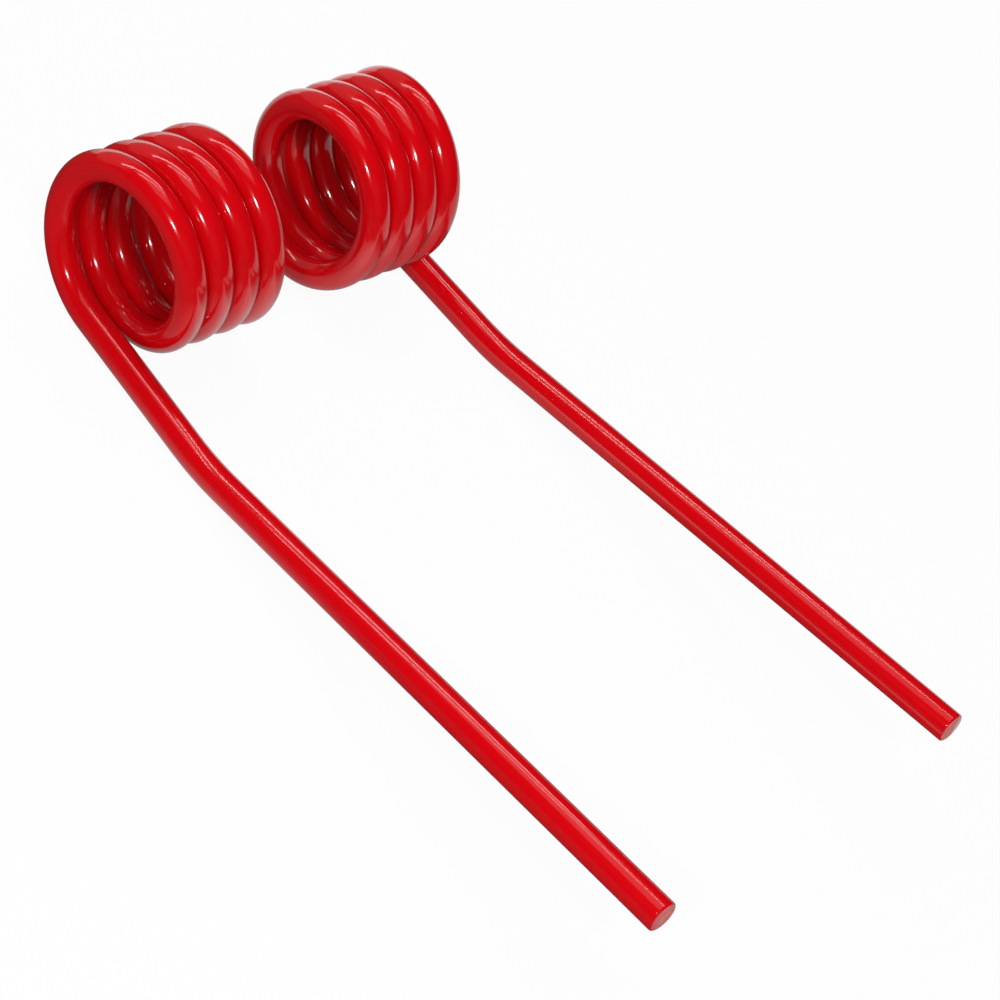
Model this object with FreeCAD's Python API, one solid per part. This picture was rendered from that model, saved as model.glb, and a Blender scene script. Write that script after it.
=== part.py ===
import FreeCAD, Part
import math
import os
from FreeCAD import Vector

# Double spring tine for a baler pick-up, one length of round spring wire, in millimetres.
# Origin: centre of the bolt loop, on the plane that the tine lies on. +Y runs to the tips, +Z is up.

# Wire and coils
wire = 5.5               # wire diameter
coil_inside = 25.0       # inside diameter of a coil
turns = 4                # whole turns in each coil
turn_gap = 0.06          # clear gap where neighbouring turns are closest
outer_opening = 0.8      # how far the turn beside the tine stands open at the back
inner_opening = 1.1      # how far the turn beside the loop stands open at the back

# Spacing and lengths
tine_spacing = 66.0      # between the two tines, centre to centre, where they leave the coils
loop_reach = 10.0        # from the bolt to the axis of the coils
root_length = 35.0       # from the axis of the coils to the corner of the bend
tip_length = 110.0       # from the corner of the bend to the cut end

# Bends
bend = 11.0              # rise of the tip above the root, degrees
bend_radius = 55.0       # to the centre line of the wire
root_splay = 2.0         # outward lean of the root, degrees
tip_splay = 0.8          # outward lean of the tip, degrees
cut_edge = 0.4           # rounding of the cut ends

coil_radius = (coil_inside + wire) / 2
pitch = wire + turn_gap
coil_y = loop_reach
coil_z = coil_radius + wire / 2


def arc_between(start, heading, end):
    """Circular arc that leaves start along heading and stops at end."""
    chord = end - start
    side = heading.cross(chord).cross(heading).normalize()
    radius = chord.dot(chord) / (2 * chord.dot(side))
    half = math.atan2(chord.dot(side), chord.dot(heading))
    middle = start + heading * (radius * math.sin(half)) + side * (radius * (1 - math.cos(half)))
    return Part.Arc(start, middle, end).toShape()


def arc_pair(start, heading, end, end_heading):
    """Two arcs that run from start to end and meet each other and both headings smoothly."""
    chord = end - start
    both = heading + end_heading
    a = 4 - both.dot(both)
    b = 2 * chord.dot(both)
    c = -chord.dot(chord)
    reach = -c / b if a < 1e-9 else (math.sqrt(b * b - 4 * a * c) - b) / (2 * a)
    before = start + heading * reach
    after = end - end_heading * reach
    join = (before + after) * 0.5
    join_heading = (after - before).normalize()
    return [arc_between(start, heading, join), arc_between(join, join_heading, end)]


def coil_point(turn):
    """Centre of the wire after so many turns, counted from the tine; the end turns touch at the front."""
    angle = 2 * math.pi * turn
    opened = (1 + math.sin(angle)) / 2
    x = (tine_spacing - outer_opening) / 2 - pitch * turn
    if turn < 0.75:
        x += outer_opening * opened
    if turn > turns - 1.25:
        x -= inner_opening * opened
    return Vector(x, coil_y - coil_radius * math.sin(angle), coil_z - coil_radius * math.cos(angle))


def coil_heading(turn):
    """Direction of the wire there, on its way in from the tine."""
    angle = 2 * math.pi * turn
    lead = -pitch / (2 * math.pi)
    if turn < 0.75:
        lead += outer_opening * math.cos(angle) / 2
    if turn > turns - 1.25:
        lead -= inner_opening * math.cos(angle) / 2
    return Vector(lead, -coil_radius * math.cos(angle), coil_radius * math.sin(angle)).normalize()


def tine_edges():
    """Tip, bend and root, from the cut end to the coil; returns the edges and the last heading."""
    root = math.radians(root_splay)
    tip = math.radians(tip_splay)
    rise = math.radians(bend)
    start = coil_point(0)
    out = Vector(math.sin(root), math.cos(root), 0)
    up = Vector(math.sin(tip), math.cos(tip) * math.cos(rise), math.cos(tip) * math.sin(rise))
    corner = start + out * (root_length / out.y)
    end = corner + up * tip_length
    trim = bend_radius * math.tan(out.getAngle(up) / 2)
    bend_start = corner + up * trim
    bend_end = corner - out * trim
    edges = [Part.makeLine(end, bend_start)]
    edges.append(arc_between(bend_start, up * -1, bend_end))
    edges.append(Part.makeLine(bend_end, start))
    return edges, out * -1


def coil_edges(first_heading):
    """The turns, from the tine to the leg of the loop, by quarter turns."""
    edges = []
    heading = first_heading
    last_quarter = 4 * turns
    for quarter in range(1, last_quarter + 1):
        end_heading = coil_heading(quarter / 4)
        if quarter == last_quarter:
            end_heading = Vector(0, -1, 0)
        edges += arc_pair(coil_point((quarter - 1) / 4), heading, coil_point(quarter / 4), end_heading)
        heading = end_heading
    return edges


def loop_edges():
    """Leg and half of the round that holds the bolt, down to the middle of the part."""
    start = coil_point(turns)
    touch = Vector(start.x, 0, start.z)
    middle = Vector(0, -start.x, start.z)
    return [Part.makeLine(start, touch), arc_between(touch, Vector(0, -1, 0), middle)]


def double_tine():
    """The whole wire, swept as one length from cut end to cut end."""
    tine, heading = tine_edges()
    half = Part.Wire(tine + coil_edges(heading) + loop_edges())
    other = half.mirror(Vector(0, 0, 0), Vector(1, 0, 0))
    path = Part.Wire(Part.__sortEdges__(half.Edges + other.Edges))
    first = path.OrderedEdges[0]
    cut = first.valueAt(first.FirstParameter)
    section = Part.makeCircle(wire / 2, cut, first.tangentAt(first.FirstParameter))
    body = path.makePipeShell([Part.Wire([section])], True, False)
    rims = [edge for face in body.Faces if isinstance(face.Surface, Part.Plane) for edge in face.Edges]
    return body.makeFillet(cut_edge, rims)


os.makedirs("parts", exist_ok=True)
double_tine().exportStep("parts/double_tine.step")
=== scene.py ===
import math
import bmesh
import bpy
from mathutils import Matrix, Vector

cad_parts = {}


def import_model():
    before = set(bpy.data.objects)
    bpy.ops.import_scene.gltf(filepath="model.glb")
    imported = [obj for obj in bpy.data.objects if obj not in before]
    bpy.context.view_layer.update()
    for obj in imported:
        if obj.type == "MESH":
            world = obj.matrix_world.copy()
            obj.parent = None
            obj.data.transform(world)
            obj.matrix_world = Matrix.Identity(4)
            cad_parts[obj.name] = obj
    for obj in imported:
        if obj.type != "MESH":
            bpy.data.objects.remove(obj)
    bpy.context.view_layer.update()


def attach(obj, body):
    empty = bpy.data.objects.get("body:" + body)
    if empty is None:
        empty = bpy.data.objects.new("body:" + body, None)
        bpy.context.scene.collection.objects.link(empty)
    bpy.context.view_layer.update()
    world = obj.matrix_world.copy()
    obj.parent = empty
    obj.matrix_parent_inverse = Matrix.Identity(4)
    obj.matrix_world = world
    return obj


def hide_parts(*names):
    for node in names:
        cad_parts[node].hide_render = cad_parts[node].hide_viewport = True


MM = 0.001

# Wire and coils, in millimetres
WIRE = 5.5
COIL_INSIDE = 25.0
TURNS = 4
TURN_GAP = 0.06
OUTER_OPENING = 0.8
INNER_OPENING = 1.1

# How many turns stand open, counted from the tine and from the leg of the loop
OUTER_OPEN_TURNS = 0.75
INNER_OPEN_TURNS = 1.25

# Spacing and lengths, in millimetres
TINE_SPACING = 66.0
LOOP_REACH = 10.0
ROOT_LENGTH = 35.0
TIP_LENGTH = 110.0

# Bends, in degrees and millimetres
BEND = 11.0
BEND_RADIUS = 55.0
ROOT_SPLAY = 2.0
TIP_SPLAY = 0.8
CUT_EDGE = 0.4

COIL_RADIUS = (COIL_INSIDE + WIRE) / 2
PITCH = WIRE + TURN_GAP
COIL_Z = COIL_RADIUS + WIRE / 2

# How finely the wire is drawn
SIDES = 64
TURN_STEPS = 96
LEAST_STEPS = 6
CUT_EDGE_STEPS = 4
WELD = 1e-6

# Colours of the coat
RED = (0.64, 0.0006, 0.0042, 1)
# Painted shade: the red darkened high inside the coils, where shade falls in the bores
SHADE_RED = (0.12, 0.0001, 0.0006, 1)
SAWN_DARK = (0.64, 0.13, 0.115, 1)
SAWN_PALE = (0.84, 0.22, 0.20, 1)

# Gloss of the coat, and how it changes on the cut ends
ROUGHNESS = 0.16
SAWN_ROUGHER = 0.45
CLEAR_COAT = 0.7
CLEAR_COAT_ROUGHNESS = 0.05
SPECULAR = 0.4

# Saw marks: how fine, and the part of the noise that runs from dark to pale
GRAIN_SCALE = 1800.0
GRAIN_DETAIL = 2.0
GRAIN_RANGE = (0.35, 0.65)

# Ranges from none to full: how near the cut end is bare, and where shade is painted high inside the coils
CUT_DEPTH = (0.020 * MM, 0.005 * MM)
SHADE_RADIUS = (14.4 * MM, 13.2 * MM)
SHADE_INNER_END = (12.0 * MM, 15.0 * MM)
SHADE_OUTER_END = (33.5 * MM, 30.5 * MM)
SHADE_HEIGHT = (9.0 * MM, 24.0 * MM)

# Floor
FLOOR_SIZE = 6
FLOOR_COLOUR = (0.8, 0.8, 0.8, 1)
WHITE = (1, 1, 1, 1)
WHITE_SHARE = 0.94

# Patches of the floor that the coat mirrors as pale, with ranges from none to full
BETWEEN_MIDDLE = 8.0 * MM
BETWEEN_WIDTH = (20.0 * MM, 4.0 * MM)
BETWEEN_LENGTH = (20.0 * MM, 50.0 * MM)
BESIDE_WIDTH = (-48.0 * MM, -56.0 * MM)
BEFORE_MIDDLE = (10.0 * MM, 50.0 * MM)
BEFORE_REACH = (60.0 * MM, 15.0 * MM)
BEHIND_WIDTH = (0.0, -15.0 * MM)
BEHIND_LENGTH = (-5.0 * MM, -25.0 * MM)
ENDS_SHARE = 0.55
SIDES_SHARE = 0.62
DIM = 0.04

# Lamps: name, direction from the part, distance, size, watts and direction of the first side
WORLD = 0.02
PART_MIDDLE = (0, 0.04, 0.02)
STREAK_SIDE = (0.79, -0.50, -0.345)
LEVEL_SIDE = (1, 0, 0)
MIRRORED_LAMPS = (
    ("soft box", (0.02, -0.26, 0.96), 1.0, (0.75, 0.62), 0.7, STREAK_SIDE),
    ("long tube", (-0.07, -0.64, 0.77), 1.0, (1.2, 0.045), 1.6, STREAK_SIDE),
    ("short tube", (0.0, -0.42, 0.91), 1.0, (0.9, 0.025), 0.6, STREAK_SIDE),
    ("back card", (0, -1, 0.35), 1.0, (1.6, 0.6), 0.6, LEVEL_SIDE),
    ("front lamp", (0.71, 0.287, 0.643), 0.6, (0.06, 0.06), 0.95, LEVEL_SIDE),
)
FILL_LAMPS = (
    ("key lamp", (0.38, 0.46, 0.80), 0.8, (0.06, 0.06), 2.2, LEVEL_SIDE),
    ("top fill", (-0.1, -0.35, 0.93), 1.0, (0.8, 0.8), 3.6, LEVEL_SIDE),
    ("front fill", (0.35, 0.8, 0.45), 1.0, (0.8, 0.8), 1.5, LEVEL_SIDE),
)

# Camera, as fitted to the outline in the photograph
SENSOR = 36
LENS = 90.195
NEAREST = 0.01
CAMERA_PLACE = (0.263375, 0.206307, 0.313022)
CAMERA_TURN = (40.2722, -20.9199, 138.7954)


# The line of the wire, as straights and arcs


def coil_point(turn):
    """Centre of the wire after so many turns; the end turns touch their neighbours at the front only."""
    angle = 2 * math.pi * turn
    opened = (1 + math.sin(angle)) / 2
    x = (TINE_SPACING - OUTER_OPENING) / 2 - PITCH * turn
    if turn < OUTER_OPEN_TURNS:
        x += OUTER_OPENING * opened
    if turn > TURNS - INNER_OPEN_TURNS:
        x -= INNER_OPENING * opened
    return Vector((x, LOOP_REACH - COIL_RADIUS * math.sin(angle), COIL_Z - COIL_RADIUS * math.cos(angle)))


def coil_heading(turn):
    """Direction of the wire there, on its way in from the tine."""
    angle = 2 * math.pi * turn
    lead = -PITCH / (2 * math.pi)
    if turn < OUTER_OPEN_TURNS:
        lead += OUTER_OPENING * math.cos(angle) / 2
    if turn > TURNS - INNER_OPEN_TURNS:
        lead -= INNER_OPENING * math.cos(angle) / 2
    return Vector((lead, -COIL_RADIUS * math.cos(angle), COIL_RADIUS * math.sin(angle))).normalized()


def straight(start, end):
    return {"move": end - start}


def arc(start, heading, end):
    """Arc that leaves start along heading and stops at end: its centre, axis and angle."""
    chord = end - start
    side = heading.cross(chord).cross(heading).normalized()
    radius = chord.dot(chord) / (2 * chord.dot(side))
    angle = 2 * math.atan2(chord.dot(side), chord.dot(heading))
    return {"centre": start + side * radius, "axis": heading.cross(side), "angle": angle}


def arc_pair(start, heading, end, end_heading):
    """Two arcs from start to end that meet each other and both headings smoothly."""
    chord = end - start
    both = heading + end_heading
    a = 4 - both.dot(both)
    b = 2 * chord.dot(both)
    c = -chord.dot(chord)
    reach = -c / b if a < 1e-9 else (math.sqrt(b * b - 4 * a * c) - b) / (2 * a)
    before = start + heading * reach
    after = end - end_heading * reach
    join = (before + after) * 0.5
    return [arc(start, heading, join), arc(join, (after - before).normalized(), end)]


def tine_path():
    """From the cut end down the tip, round the bend and along the root to the coil."""
    root, tip, rise = (math.radians(a) for a in (ROOT_SPLAY, TIP_SPLAY, BEND))
    start = coil_point(0)
    out = Vector((math.sin(root), math.cos(root), 0))
    up = Vector((math.sin(tip), math.cos(tip) * math.cos(rise), math.cos(tip) * math.sin(rise)))
    corner = start + out * (ROOT_LENGTH / out.y)
    end = corner + up * TIP_LENGTH
    trim = BEND_RADIUS * math.tan(out.angle(up) / 2)
    bend_start = corner + up * trim
    bend_end = corner - out * trim
    path = [straight(end, bend_start), arc(bend_start, -up, bend_end), straight(bend_end, start)]
    return end, up, path, -out


def coil_path(heading):
    """The turns, from the root to the leg of the loop, by quarter turns."""
    path = []
    last_quarter = 4 * TURNS
    for quarter in range(1, last_quarter + 1):
        end_heading = coil_heading(quarter / 4) if quarter < last_quarter else Vector((0, -1, 0))
        path += arc_pair(coil_point((quarter - 1) / 4), heading, coil_point(quarter / 4), end_heading)
        heading = end_heading
    return path


def loop_path():
    """One leg and half of the round that holds the bolt."""
    start = coil_point(TURNS)
    touch = Vector((start.x, 0, start.z))
    return [straight(start, touch), arc(touch, Vector((0, -1, 0)), Vector((0, -start.x, start.z)))]


# The wire


def only(kind, geometry):
    return [part for part in geometry if isinstance(part, kind)]


def sweep(bm, ring, path):
    """Draws the wire's ring of edges along the path."""
    for leg in path:
        if "move" in leg:
            made = bmesh.ops.extrude_edge_only(bm, edges=ring)["geom"]
            bmesh.ops.translate(bm, vec=leg["move"] * MM, verts=only(bmesh.types.BMVert, made))
        else:
            steps = max(LEAST_STEPS, round(TURN_STEPS * leg["angle"] / (2 * math.pi)))
            made = bmesh.ops.spin(
                bm, geom=ring, cent=leg["centre"] * MM, axis=leg["axis"], angle=leg["angle"], steps=steps,
                use_merge=False, use_duplicate=False)["geom_last"]
        ring = only(bmesh.types.BMEdge, made)


def wire_mesh():
    """Half of the wire, swept from its cut end to the middle of the loop, then mirrored."""
    end, up, tine, heading = tine_path()
    bm = bmesh.new()
    turn = Vector((0, 0, 1)).rotation_difference(up).to_matrix().to_4x4()
    ring = bmesh.ops.create_circle(
        bm, segments=SIDES, radius=WIRE / 2 * MM, matrix=Matrix.Translation(end * MM) @ turn)["verts"]
    edges = list({e for v in ring for e in v.link_edges})
    sweep(bm, edges, tine + coil_path(heading) + loop_path())

    rim = [e for e in bm.edges if e.is_boundary and all((v.co - end * MM).length < WIRE * MM for v in e.verts)]
    bmesh.ops.contextual_create(bm, geom=rim)
    bmesh.ops.bevel(
        bm, geom=rim, offset=CUT_EDGE * MM, offset_type="OFFSET", segments=CUT_EDGE_STEPS, profile=0.5,
        affect="EDGES", material=-1)

    copy = bmesh.ops.duplicate(bm, geom=bm.verts[:] + bm.edges[:] + bm.faces[:])["geom"]
    bmesh.ops.scale(bm, vec=Vector((-1, 1, 1)), verts=only(bmesh.types.BMVert, copy))
    bmesh.ops.remove_doubles(bm, verts=bm.verts[:], dist=WELD)
    bmesh.ops.recalc_face_normals(bm, faces=bm.faces[:])
    mesh = bpy.data.meshes.new("wire")
    bm.to_mesh(mesh)
    bm.free()
    mesh.shade_smooth()
    return mesh


# Materials


class Shade:
    """A socket's output that takes part in plain arithmetic, which adds Math nodes."""

    def __init__(self, tree, socket):
        self.tree = tree
        self.socket = socket

    def node(self, kind, settings=(), **inputs):
        """Adds a node: its settings first, then values or links by socket name, or by i and its number."""
        made = self.tree.nodes.new(kind)
        for name, value in dict(settings).items():
            setattr(made, name, value)
        for name, value in inputs.items():
            key = int(name[1:]) if name[0] == "i" and name[1:].isdigit() else name.replace("_", " ")
            if isinstance(value, Shade):
                self.tree.links.new(value.socket, made.inputs[key])
            elif isinstance(value, bpy.types.Node):
                self.tree.links.new(value.outputs[0], made.inputs[key])
            else:
                made.inputs[key].default_value = value
        return made

    def math(self, operation, other=0.0, flip=False):
        a, b = (other, self) if flip else (self, other)
        made = self.node("ShaderNodeMath", {"operation": operation}, i0=a, i1=b)
        return Shade(self.tree, made.outputs[0])

    def __add__(self, other):
        return self.math("ADD", other)

    def __radd__(self, other):
        return self.math("ADD", other, flip=True)

    def __sub__(self, other):
        return self.math("SUBTRACT", other)

    def __rsub__(self, other):
        return self.math("SUBTRACT", other, flip=True)

    def __mul__(self, other):
        return self.math("MULTIPLY", other)

    def __rmul__(self, other):
        return self.math("MULTIPLY", other, flip=True)

    def ramp(self, start, end):
        """0 at start, 1 at end, smooth between."""
        made = self.node(
            "ShaderNodeMapRange", {"interpolation_type": "SMOOTHSTEP"}, Value=self, From_Min=start, From_Max=end)
        return Shade(self.tree, made.outputs[0])

    def mix(self, low, high):
        """Colour low where this is 0, high where it is 1."""
        made = self.node("ShaderNodeMix", {"data_type": "RGBA"}, i0=self, i6=low, i7=high)
        return Shade(self.tree, made.outputs[2])


def distance(a, b):
    """Length of the line with these two sides."""
    return (a * a + b * b).math("SQRT")


def material(name):
    """New material: itself, its tree, its shader, and the place on the piece as a whole and as x, y and z."""
    mat = bpy.data.materials.new(name)
    mat.use_nodes = True
    tree = mat.node_tree
    shader = tree.nodes["Principled BSDF"]
    base = Shade(tree, None)
    place = Shade(tree, base.node("ShaderNodeTexCoord").outputs["Object"])
    apart = base.node("ShaderNodeSeparateXYZ", Vector=place)
    x, y, z = (Shade(tree, apart.outputs[axis]) for axis in "XYZ")
    return mat, tree, shader, place, x, y, z


def red_coat():
    """Gloss red coat with painted shade, darker high inside the coils, and a pale sawn face on the cut ends."""
    mat, tree, shader, place, x, y, z = material("red coat")

    end, up, _, _ = tine_path()
    along = y * up.y + z * up.z
    reach = (end.y * up.y + end.z * up.z) * MM
    cut = along.ramp(reach - CUT_DEPTH[0], reach - CUT_DEPTH[1])
    grain = place.node("ShaderNodeTexNoise", Vector=place, Scale=GRAIN_SCALE, Detail=GRAIN_DETAIL)
    sawn = Shade(tree, grain.outputs[0]).ramp(*GRAIN_RANGE).mix(SAWN_DARK, SAWN_PALE)

    # Painted shade: the red is darkened in the upper part of the coils' bores, where shade falls
    from_axis = distance(y - LOOP_REACH * MM, z - COIL_Z * MM)
    from_middle = x.math("ABSOLUTE")
    inside = from_axis.ramp(*SHADE_RADIUS) * from_middle.ramp(*SHADE_INNER_END) * from_middle.ramp(*SHADE_OUTER_END)
    painted_shade = inside * z.ramp(*SHADE_HEIGHT)

    colour = cut.mix(painted_shade.mix(RED, SHADE_RED), sawn)
    roughness = ROUGHNESS + cut * SAWN_ROUGHER
    gloss = CLEAR_COAT - cut * CLEAR_COAT
    tree.links.new(colour.socket, shader.inputs["Base Color"])
    tree.links.new(roughness.socket, shader.inputs["Roughness"])
    tree.links.new(gloss.socket, shader.inputs["Coat Weight"])
    shader.inputs["Coat Roughness"].default_value = CLEAR_COAT_ROUGHNESS
    shader.inputs["Specular IOR Level"].default_value = SPECULAR
    return mat


def floor_coat():
    """White floor that keeps the part's shadow; the coat mirrors it as pale in four soft patches only."""
    mat, tree, shader, place, x, y, _ = material("white floor")
    shader.inputs["Base Color"].default_value = FLOOR_COLOUR
    shader.inputs["Roughness"].default_value = 1.0
    shader.inputs["Specular IOR Level"].default_value = 0.0

    between = (x - BETWEEN_MIDDLE).math("ABSOLUTE").ramp(*BETWEEN_WIDTH) * y.ramp(*BETWEEN_LENGTH)
    beside = x.ramp(*BESIDE_WIDTH)
    before = distance(x - BEFORE_MIDDLE[0], y - BEFORE_MIDDLE[1]).ramp(*BEFORE_REACH)
    behind = x.ramp(*BEHIND_WIDTH) * y.ramp(*BEHIND_LENGTH)
    pale = ((before + behind) * ENDS_SHARE + (between + beside) * SIDES_SHARE).math("MINIMUM", 1.0)

    white = place.node("ShaderNodeEmission", Color=WHITE, Strength=1.0)
    dim = place.node("ShaderNodeEmission", Color=WHITE, Strength=DIM)
    mirrored = place.node("ShaderNodeMixShader", i0=pale, i1=dim, i2=white)
    path = place.node("ShaderNodeLightPath")
    seen = Shade(tree, path.outputs["Is Camera Ray"]) * WHITE_SHARE
    shown = place.node("ShaderNodeMixShader", i0=seen, i1=shader, i2=white)
    both = place.node("ShaderNodeMixShader", i0=Shade(tree, path.outputs["Is Glossy Ray"]), i1=shown, i2=mirrored)
    tree.links.new(both.outputs[0], tree.nodes["Material Output"].inputs["Surface"])
    return mat


# Studio


def add(name, data):
    """Puts a mesh, lamp or camera in the scene."""
    made = bpy.data.objects.new(name, data)
    bpy.context.collection.objects.link(made)
    return made


def lamp(name, towards, away, size, power, first_side):
    """Area lamp in that direction from the middle of the part, turned to face it; size goes with its first side."""
    data = bpy.data.lights.new(name, "AREA")
    data.shape = "RECTANGLE"
    data.size, data.size_y = size
    data.energy = power
    made = add(name, data)
    out = Vector(towards).normalized()
    side = Vector(first_side)
    side = (side - out * side.dot(out)).normalized()
    turn = Matrix((side, out.cross(side), out)).transposed().to_4x4()
    made.matrix_world = Matrix.Translation(Vector(PART_MIDDLE) + out * away) @ turn
    return made


def floor():
    mesh = bpy.data.meshes.new("floor")
    bm = bmesh.new()
    bmesh.ops.create_grid(bm, x_segments=1, y_segments=1, size=FLOOR_SIZE)
    bm.to_mesh(mesh)
    bm.free()
    made = add("floor", mesh)
    made.data.materials.append(floor_coat())


def studio():
    """Dim white surroundings and the lamps."""
    world = bpy.data.worlds.new("studio")
    bpy.context.scene.world = world
    world.use_nodes = True
    world.node_tree.nodes["Background"].inputs["Color"].default_value = WHITE
    world.node_tree.nodes["Background"].inputs["Strength"].default_value = WORLD
    for row in MIRRORED_LAMPS:
        lamp(*row)
    for row in FILL_LAMPS:
        lamp(*row).visible_glossy = False


def camera():
    data = bpy.data.cameras.new("camera")
    data.sensor_width = SENSOR
    data.lens = LENS
    data.clip_start = NEAREST
    made = add("camera", data)
    made.location = CAMERA_PLACE
    made.rotation_euler = [math.radians(a) for a in CAMERA_TURN]
    bpy.context.scene.camera = made


def main():
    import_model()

    wire = add("wire", wire_mesh())
    wire.data.materials.append(red_coat())
    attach(wire, "root")
    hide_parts("double_tine")

    floor()
    studio()
    camera()
    bpy.context.scene.view_settings.view_transform = "Standard"


main()
